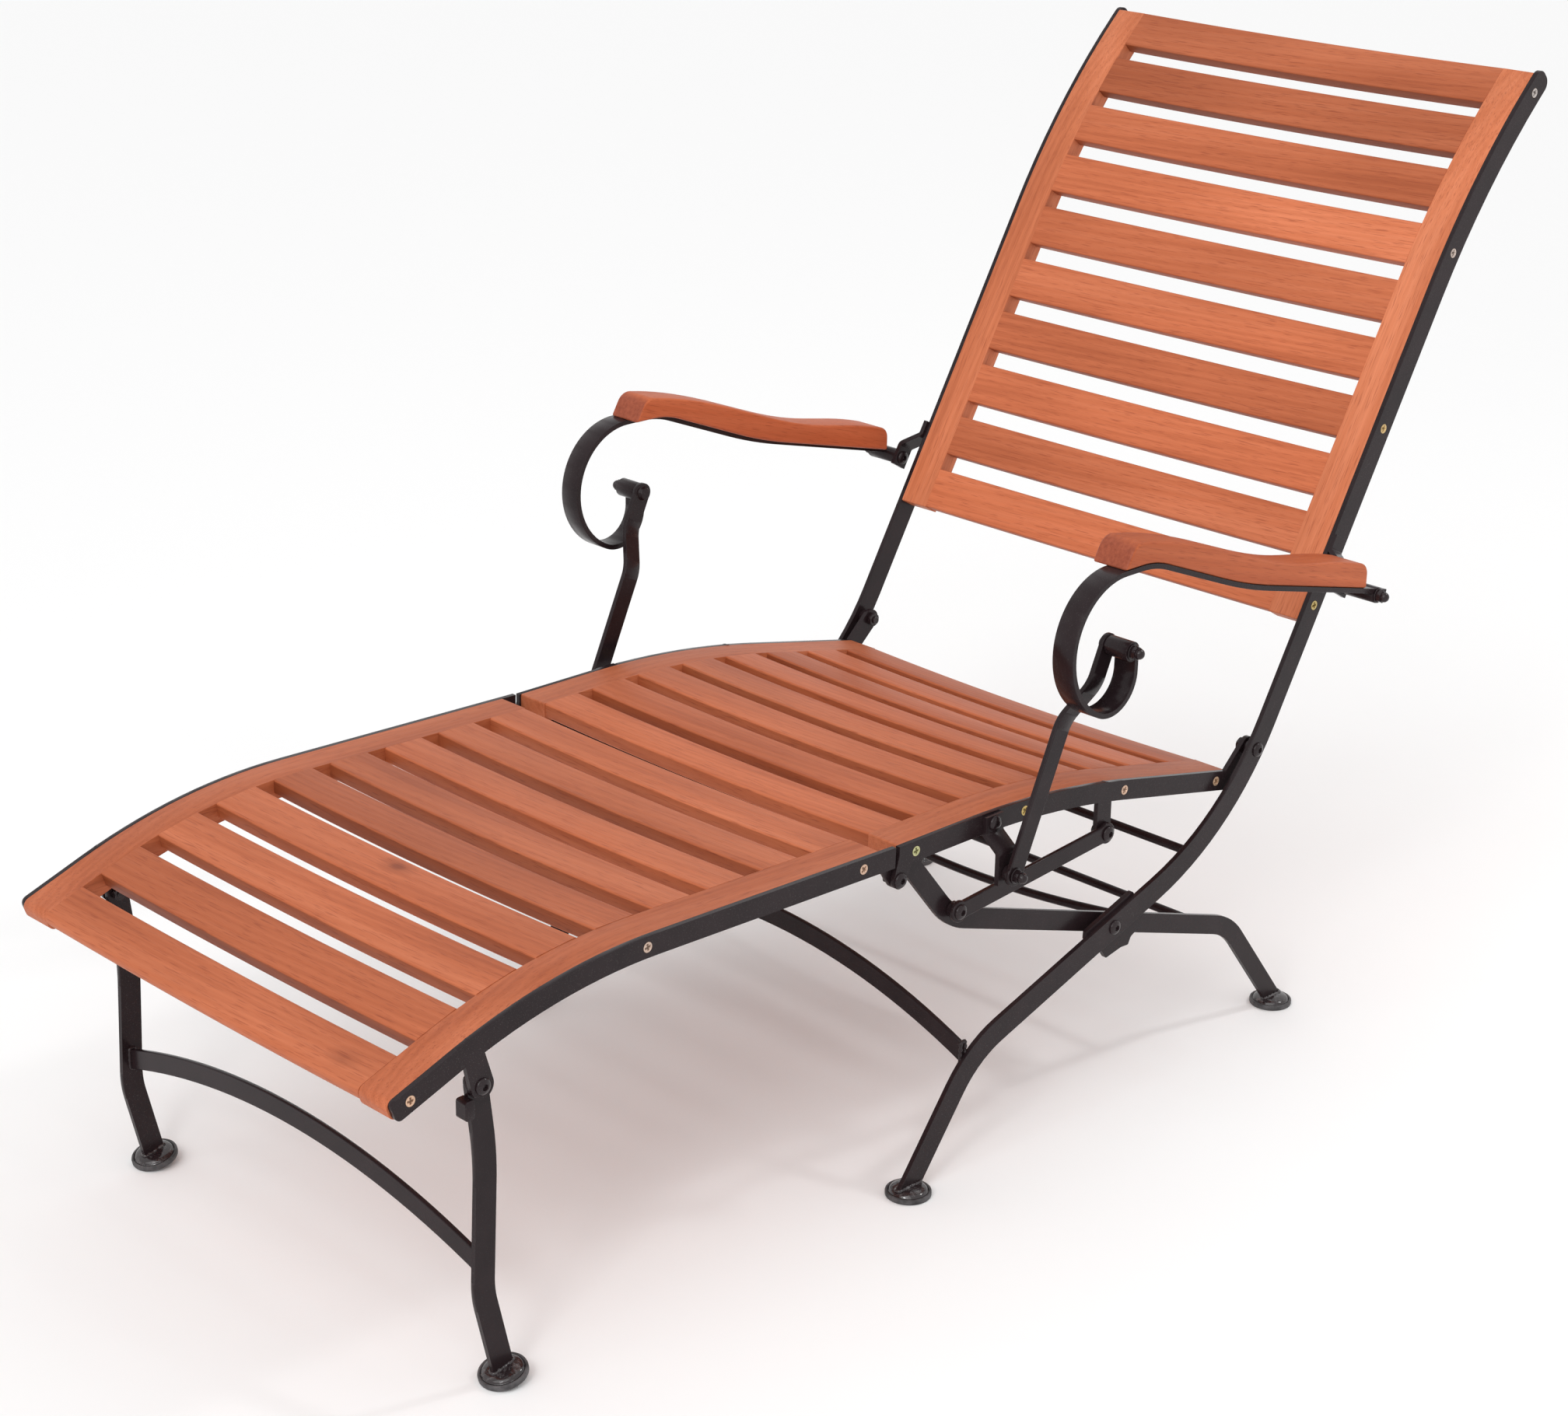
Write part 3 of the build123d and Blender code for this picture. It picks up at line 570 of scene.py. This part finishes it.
def ring_faces(rings, count, open_end=False):
    """Quads between successive rings of points, with a flat cap at each closed end."""
    faces = []
    for r in range(rings - 1):
        for i in range(count):
            j = (i + 1) % count
            faces.append((r * count + i, r * count + j, (r + 1) * count + j, (r + 1) * count + i))
    faces.append(tuple(reversed(range(count))))
    if not open_end:
        faces.append(tuple(range((rings - 1) * count, rings * count)))
    return faces


def rounded_box(width, height, radius, nose=None, steps=4):
    """A rounded rectangle round the origin, as points in order. A nose rounds its +X side."""
    ring = []
    for sx, sy, start in ((1, 1, 0), (-1, 1, 90), (-1, -1, 180), (1, -1, 270)):
        r = nose if nose and sx > 0 else radius
        for k in range(steps + 1):
            a = math.radians(start + 90.0 * k / steps)
            ring.append((sx * (width / 2 - r) + r * math.cos(a),
                         sy * (height / 2 - r) + r * math.sin(a)))
    return ring


def lathe(shape, profile, matrix, count=ROUND_COUNT, open_end=False):
    """A body of revolution about local Z. The profile is (radius, height) from the axis outward."""
    points = []
    for radius, height in profile:
        for a in circle(count):
            local = Vector((radius * math.cos(a), radius * math.sin(a), height))
            points.append(tuple(matrix @ local))
    shape.put(points, ring_faces(len(profile), count, open_end))


def dome(radius, base, rise, degrees):
    """Profile points of a dome."""
    return [(radius * math.cos(math.radians(a)), base + rise * math.sin(math.radians(a)))
            for a in degrees]


def relief(shape, outer, crown, recess, matrix, count, rings, tone=0.5):
    """The top of a round head, which follows crown(r) and sinks by recess(x, y)."""
    points = []
    depth = []
    rim_in, rim_out = (band * outer for band in RIM_SHADE_BAND)
    for r in range(rings + 1):
        radius = outer * r / rings
        for a in circle(count):
            x = radius * math.cos(a)
            y = radius * math.sin(a)
            points.append(tuple(matrix @ Vector((x, y, crown(radius) - recess(x, y)))))
            # The recess depth, or the made-up depth at the rim, is kept to paint shade there in the
            # zinc
            depth.append((max(recess(x, y), RIM_SHADE_DEPTH * smooth(rim_in, rim_out, radius)),) * 3)
    faces = []
    for r in range(rings):
        for k in range(count):
            j = (k + 1) % count
            faces.append((r * count + k, (r + 1) * count + k, (r + 1) * count + j, r * count + j))
    shape.put(points, faces, depth, tone)


def out_frame(point, y, way):
    """A frame at a side view point, with its Z along the way across the chair."""
    z_axis = Vector((0.0, way, 0.0))
    x_axis = Vector((1.0, 0.0, 0.0))
    matrix = Matrix((x_axis, z_axis.cross(x_axis), z_axis)).transposed().to_4x4()
    matrix.translation = Vector((point[0], y, point[1]))
    return matrix


def centre(node):
    """The middle of a node in the side view, in millimetres."""
    low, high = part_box(node)
    return ((low[0] + high[0]) / 2 / MM, (low[2] + high[2]) / 2 / MM)


# Slats

def slats(node, body, line, arc, half, mat, tones, width, ends, seed, nose=None):
    """Dished slats with eased edges, each cut from its own piece of timber.

    The front edge of the last one is rounded by the nose.
    """
    rng = random.Random(seed)
    path = Bend(beside(line, STILE_T / 2), arc)
    step = (path.length - ends[0] - ends[1] - width) / (len(tones) - 1)
    reach = half - STILE_W
    flank = width / 2 - SIDE_BAND
    shape = Shape()
    for i, tone in enumerate(tones):
        (x, z), angle = path.at(ends[0] + width / 2 + i * step)
        last = nose if i == len(tones) - 1 else None
        section = rounded_box(width, SLAT_T, SLAT_EDGE, last)
        cut = [rng.uniform(0.0, LOG_SPAN) for _ in range(3)]
        twist = rng.uniform(-GRAIN_TWIST, GRAIN_TWIST)
        top_tone = TOP_DARKEST + (1.0 - TOP_DARKEST) * tone
        points = []
        grain = []
        shade = []
        for k in range(SLAT_STATIONS):
            y = reach * (2.0 * k / (SLAT_STATIONS - 1) - 1.0)
            sag = -SLAT_DISH * (1.0 - (y / reach) ** 2) - SLAT_T / 2
            for u, v in section:
                points.append((x + (math.cos(angle) * u - math.sin(angle) * (v + sag)), y,
                               z + (math.sin(angle) * u + math.cos(angle) * (v + sag))))
                grain.append((cut[0] + y, cut[1] + u + twist * v + GRAIN_SLOPE * y,
                              cut[2] + v - twist * u))
                # Painted shade: the sides of the slat are darker than its top and bottom
                side = u < -flank or (u > flank and not last)
                shade.append(top_tone - (SIDE_SHADE if side else 0.0))
        shape.put(points, ring_faces(SLAT_STATIONS, len(section)), grain, shade)
    shape.piece(node + "_set", mat, body, [node], toned=True)


# Fasteners

def button(shape, point, y, way):
    """A button head with a hexagon socket."""
    def crown(r):
        return BUTTON_EDGE + BUTTON_RISE * math.sqrt(max(0.0, 1.0 - (r / BUTTON_ROUND) ** 2))

    def socket(u, v):
        apothem = max(abs(u * math.cos(a) + v * math.sin(a)) for a in SOCKET_SIDES)
        return SOCKET_DEPTH * (1.0 - smooth(*SOCKET_WALL, apothem))

    matrix = out_frame(point, y, way)
    relief(shape, BUTTON_R, crown, socket, matrix, BOLT_COUNT, BOLT_RINGS)
    lathe(shape, [(AXIS, 0.0), (BUTTON_R, 0.0), (BUTTON_R, crown(BUTTON_R))], matrix,
          BOLT_COUNT, True)


def collar(shape, point, y_in, y_out, radius):
    length = y_out - y_in
    edge = min(COLLAR_EASE, length / 3)
    lathe(shape, [(AXIS, 0.0), (radius - edge, 0.0), (radius, edge), (radius, length - edge),
                  (radius - edge, length), (AXIS, length)], out_frame(point, y_in, 1))


def hexagon(shape, point, y, way, half=NUT_HALF):
    """A hexagon nut with chamfered corners, given half its width across the flats."""
    corner = half / math.cos(math.pi / 6)
    matrix = out_frame(point, y, way)
    points = []
    levels = [(NUT_AXIS, 0.0), (NUT_FACE, 0.0), (1.0, NUT_CHAMFER), (1.0, NUT_H - NUT_CHAMFER),
              (NUT_FACE, NUT_H), (NUT_AXIS, NUT_H)]
    for scale, level in levels:
        for a in circle(BOLT_COUNT):
            side = (a + math.pi / 6) % (math.pi / 3) - math.pi / 6
            reach = min(half / math.cos(side), corner * NUT_CORNER, corner * scale)
            local = Vector((reach * math.cos(a), reach * math.sin(a), level))
            points.append(tuple(matrix @ local))
    shape.put(points, ring_faces(len(levels), BOLT_COUNT))


def acorn(shape, point, y, way):
    """A domed cap nut on a washer."""
    seat = y + way * WASHER_T
    collar(shape, point, min(y, seat), max(y, seat), WASHER_R)
    hexagon(shape, point, seat, way, ACORN_HALF)
    profile = ACORN_NECK + dome(ACORN_R, ACORN_BASE, ACORN_R, range(0, 88, 8))
    profile.append((AXIS, ACORN_TOP))
    lathe(shape, profile, out_frame(point, y, way))


FACING = {"head": button, "nut": hexagon, "acorn": acorn}


def pivot(node, body, items, sides, mat):
    """The bolts of one node, with their heads, collars and nuts."""
    shape = Shape()
    point = centre(node)
    for side in sides:
        for kind, a, b in items:
            if kind in FACING:
                FACING[kind](shape, point, side * a, side * b)
            else:
                y_in, y_out = sorted((side * a, side * b))
                collar(shape, point, y_in, y_out, PIVOT_RADII[kind])
    shape.piece(node + "_detail", mat, body, [node])


def fasteners(mat):
    for node, (body, items) in PIVOTS.items():
        pivot(node, body, items, SIDES, mat)
    for side, word in zip(SIDES, ("left", "right")):
        for node, (body, items) in SIDE_PIVOTS.items():
            pivot(f"{node}_{word}", f"{body}_{word}", items, (side,), mat)


def screw(shape, point, y, way, turn, tone):
    """A countersunk head with a cross recess, flush with the bar."""
    c, s = math.cos(turn), math.sin(turn)

    def recess(x, v):
        along, across = abs(c * x + s * v), abs(-s * x + c * v)
        arm = 1.0 - smooth(*CROSS_WALL, min(along, across))
        reach = 1.0 - smooth(*CROSS_END, max(along, across))
        return CROSS_DEPTH * arm * reach

    def crown(r):
        return SCREW_CROWN - SCREW_FALL * (r / SCREW_R) ** 2

    matrix = out_frame(point, y, way)
    relief(shape, SCREW_R, crown, recess, matrix, SCREW_COUNT, SCREW_RINGS, tone)
    lathe(shape, [(AXIS, SCREW_SEAT), (SCREW_SHANK_R, SCREW_SEAT), (SCREW_R, crown(SCREW_R))],
          matrix, SCREW_COUNT, True)


def screw_row(node, body, line, arc, y, mat, tones, ends, seed):
    """Screws through a rail on both sides, each with its own shade of plating."""
    rng = random.Random(seed)
    path = Bend(line, arc)
    step = (path.length - ends[0] - ends[1]) / (len(tones) - 1)
    shape = Shape()
    for i, tone in enumerate(tones):
        point, _ = path.at(ends[0] + i * step)
        for side in SIDES:
            screw(shape, point, side * y, side, rng.uniform(0.0, QUARTER), tone)
    shape.piece(node + "_detail", mat, body, [node], toned=True)


# Welds

def weld(shape, bar_width, matrix, seed):
    """A lumpy bead round the end of a flat bar, in the XY plane of the matrix."""
    rng = random.Random(seed)
    corners = rounded_box(bar_width, BEAD_BAR_T, BEAD_CORNER, steps=3)
    loop = []
    for p, q in zip(corners, corners[1:] + corners[:1]):
        parts = max(1, round(math.dist(p, q) / BEAD_STEP))
        loop += [(p[0] + (q[0] - p[0]) * k / parts, p[1] + (q[1] - p[1]) * k / parts)
                 for k in range(parts)]
    count = len(loop)
    points = []
    for i, (x, y) in enumerate(loop):
        before = loop[i - 1]
        after = loop[(i + 1) % count]
        across = math.atan2(after[1] - before[1], after[0] - before[0]) - QUARTER
        jitter = rng.uniform(-BEAD_JITTER, BEAD_JITTER)
        radius = BEAD_R + BEAD_LUMP * math.sin(i * BEAD_PITCH) + jitter
        for a in circle(BEAD_SIDES):
            reach = radius * math.cos(a)
            local = Vector((x + reach * math.cos(across), y + reach * math.sin(across),
                            radius * math.sin(a)))
            points.append(tuple(matrix @ local))
    faces = []
    for i in range(count):
        here = i * BEAD_SIDES
        there = (i + 1) % count * BEAD_SIDES
        for k in range(BEAD_SIDES):
            m = (k + 1) % BEAD_SIDES
            faces.append((here + k, there + k, there + m, here + m))
    shape.put(points, faces)


def arch_welds(node, body, mat, bar_width):
    """Beads where an arched bar meets the legs."""
    low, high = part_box(node)
    shape = Shape()
    for seed, y in enumerate((low[1], high[1]), ARCH_SEED):
        middle = ((low[0] + high[0]) / 2 / MM, y / MM, low[2] / MM + bar_width / 2)
        matrix = Matrix.Translation(middle) @ Matrix.Rotation(QUARTER, 4, "X")
        weld(shape, bar_width, matrix @ Matrix.Rotation(QUARTER, 4, "Z"), seed)
    shape.piece(node + "_welds", mat, body, [])


# Feet

def feet(name, body, place, steel, cap_mat, bar_width, tilt=0.0):
    """A rubber cup round a domed steel plate, welded under each leg of a pair."""
    x, y, z = place
    turned = Matrix.Rotation(math.radians(tilt), 4, "Y")
    plate = PLATE_EDGE + dome(PLATE_R, PLATE_BASE, PLATE_RISE, range(10, 90, 10))
    plate.append((AXIS, PLATE_TOP))
    cups = Shape()
    plates = Shape()
    for side in SIDES:
        matrix = Matrix.Translation((x, side * y, z)) @ turned
        lathe(cups, CUP, matrix, FOOT_COUNT)
        lathe(plates, plate, matrix, FOOT_COUNT)
        weld(plates, bar_width, matrix @ Matrix.Translation((0.0, 0.0, PLATE_WELD)),
             FOOT_SEED + side)
    cups.piece(name + "_caps_detail", cap_mat, body, [name + "_caps"])
    plates.piece(name + "_plates_detail", steel, body, [name + "_plates"])


# Finish of the CAD nodes: eased edges that catch the light

def ease(node, width, segments=2):
    merge = node.modifiers.new("weld", "WELD")
    merge.merge_threshold = CAD_MERGE
    flat = node.modifiers.new("flat", "DECIMATE")
    flat.decimate_type = "DISSOLVE"
    flat.angle_limit = math.radians(FLAT_ANGLE)
    edge = node.modifiers.new("edge", "BEVEL")
    edge.width = width
    edge.segments = segments
    edge.limit_method = "ANGLE"
    edge.angle_limit = math.radians(EDGE_ANGLE)
    edge.harden_normals = True


# Camera, floor and light

def add_camera():
    azimuth = math.radians(CAMERA_AZIMUTH)
    elevation = math.radians(CAMERA_ELEVATION)
    roll = math.radians(CAMERA_ROLL)
    back = Vector((math.sin(azimuth) * math.cos(elevation),
                   -math.cos(azimuth) * math.cos(elevation), math.sin(elevation)))
    right = Vector((math.cos(azimuth), math.sin(azimuth), 0.0))
    up = back.cross(right)
    x_axis = math.cos(roll) * right + math.sin(roll) * up
    y_axis = -math.sin(roll) * right + math.cos(roll) * up
    data = bpy.data.cameras.new("photo_camera")
    data.sensor_fit = "HORIZONTAL"
    data.sensor_width = SENSOR_MM
    data.lens = SENSOR_MM * FOCUS_PX / PHOTO_PX
    data.clip_end = 50.0
    camera = bpy.data.objects.new("photo_camera", data)
    matrix = Matrix((x_axis, y_axis, back)).transposed().to_4x4()
    matrix.translation = Vector(CAMERA_AT)
    camera.matrix_world = matrix
    scene.collection.objects.link(camera)
    scene.camera = camera


def aim(lamp, way):
    lamp.rotation_euler = way.to_track_quat("-Z", "Y").to_euler()


def add_lamp(name, place, target, size, power):
    data = bpy.data.lights.new(name, "AREA")
    data.shape = "SQUARE"
    data.size = size
    data.energy = power
    lamp = bpy.data.objects.new(name, data)
    lamp.location = place
    aim(lamp, Vector(target) - Vector(place))
    scene.collection.objects.link(lamp)


def add_key():
    data = bpy.data.lights.new("key", "SUN")
    data.energy = KEY_POWER
    data.angle = math.radians(KEY_SPREAD)
    key = bpy.data.objects.new("key", data)
    aim(key, Vector(KEY_WAY))
    scene.collection.objects.link(key)


def add_floor():
    bpy.ops.mesh.primitive_plane_add(size=FLOOR_SIZE, location=(0.0, 0.0, 0.0))
    floor = bpy.context.object
    floor.name = "floor"
    mat, _, shader = material("floor")
    shader.inputs["Base Color"].default_value = (FLOOR_WHITE, FLOOR_WHITE, FLOOR_WHITE, 1.0)
    shader.inputs["Roughness"].default_value = 0.9
    shader.inputs["Specular IOR Level"].default_value = 0.1
    floor.data.materials.append(mat)


def add_world():
    """White where it is seen, straight on or in a reflection, and a softer fill elsewhere."""
    world = bpy.data.worlds.new("studio")
    scene.world = world
    world.use_nodes = True
    tree = world.node_tree
    white = (1.0, 1.0, 1.0, 1.0)
    seen = tree.nodes["Background"]
    seen.inputs["Color"].default_value = white
    seen.inputs["Strength"].default_value = 1.0
    fill = add(tree, "ShaderNodeBackground", {"Color": white, "Strength": FILL})
    path = add(tree, "ShaderNodeLightPath").outputs
    rays = plus(tree, path["Is Camera Ray"], path["Is Glossy Ray"])
    rays = plus(tree, rays, path["Is Transmission Ray"], use_clamp=True)
    both = add(tree, "ShaderNodeMixShader", {0: rays, 1: fill.outputs[0], 2: seen.outputs[0]})
    tree.links.new(both.outputs[0], tree.nodes["World Output"].inputs["Surface"])


def add_stage():
    add_floor()
    add_world()
    add_key()
    add_lamp("front", (2.6, 1.2, 1.9), target=(-0.3, 0.1, 0.5), size=0.5, power=13.0)
    add_lamp("rim", (-1.7, 1.1, 2.3), target=(0.0, 0.1, 0.4), size=0.25, power=10.0)


# The whole chair

def dress_nodes(steel):
    """Materials for the CAD nodes, and eased edges for all but those named in NOT_EASED."""
    for name, node in nodes.items():
        node.data.materials.clear()
        family = name.rsplit("_", 1)[0]
        if family in STILES:
            angle, tint = STILES[family]
            pad = family == "armrest_pad"
            shift = STILE_SHIFT * (1 + sorted(STILES).index(family))
            shift += LEFT_SHIFT if name.endswith("left") else 0.0
            wood = solid_timber(name + "_hardwood", math.radians(angle), shift, tint, pad)
            node.data.materials.append(wood)
            ease(node, PAD_EASE if pad else STILE_EASE, 3)
        else:
            node.data.materials.append(steel)
            if not any(word in name for word in NOT_EASED):
                ease(node, BAR_EASE)


def dress():
    wood = slat_timber("slat_hardwood")
    steel = painted_steel("powder_coat", rough=(0.18, 0.30), shine=0.18)
    bolts = painted_steel("bolt_black", rough=(0.10, 0.18), shine=0.30)
    worn = painted_steel("foot_black", rough=(0.08, 0.16), shine=0.60, scuffed=True)
    caps = rubber("foot_rubber")
    plated = zinc("passivated_zinc")
    dress_nodes(steel)
    slats("back_slats", "back_frame", BACK_LINE, BACK_ARC, BACK_HALF, wood, BACK_TONES,
          width=44.5, ends=(0.0, 1.0), seed=11)
    slats("seat_slats", "seat", SEAT_LINE, SEAT_ARC, SEAT_HALF, wood, SEAT_TONES,
          width=44.5, ends=(1.0, 1.0), seed=23)
    slats("footrest_slats", "footrest", REST_LINE, REST_ARC, SEAT_HALF, wood, REST_TONES,
          width=45.0, ends=(1.0, 0.0), seed=37, nose=SLAT_NOSE)
    fasteners(bolts)
    screw_row("back_screws", "back_frame", beside(BACK_LINE, SCREW_DROP), BACK_ARC, BACK_OUT,
              plated, (0.0, 0.1, 0.6, 0.75), ends=(16.0, 20.0), seed=5)
    screw_row("seat_screws", "seat", SEAT_LINE, SEAT_ARC, RAIL_OUT,
              plated, (0.4, 0.3, 0.7, 1.0), ends=(17.0, 20.0), seed=7)
    screw_row("footrest_screws", "footrest", REST_LINE, REST_ARC, RAIL_OUT,
              plated, (0.3, 0.2, 0.35), ends=(24.0, 20.0), seed=9)
    feet("mid_foot", "back_frame", MID_FOOT, worn, caps, bar_width=31.0)
    feet("rear_foot", "rear_legs", REAR_FOOT, worn, caps, bar_width=25.5)
    feet("front_foot", "front_legs", FRONT_FOOT, worn, caps, bar_width=22.5, tilt=FRONT_TILT)
    arch_welds("mid_crossbar", "back_frame", bolts, bar_width=21.5)
    arch_welds("front_crossbar", "front_legs", bolts, bar_width=21.0)


add_camera()
add_stage()
dress()
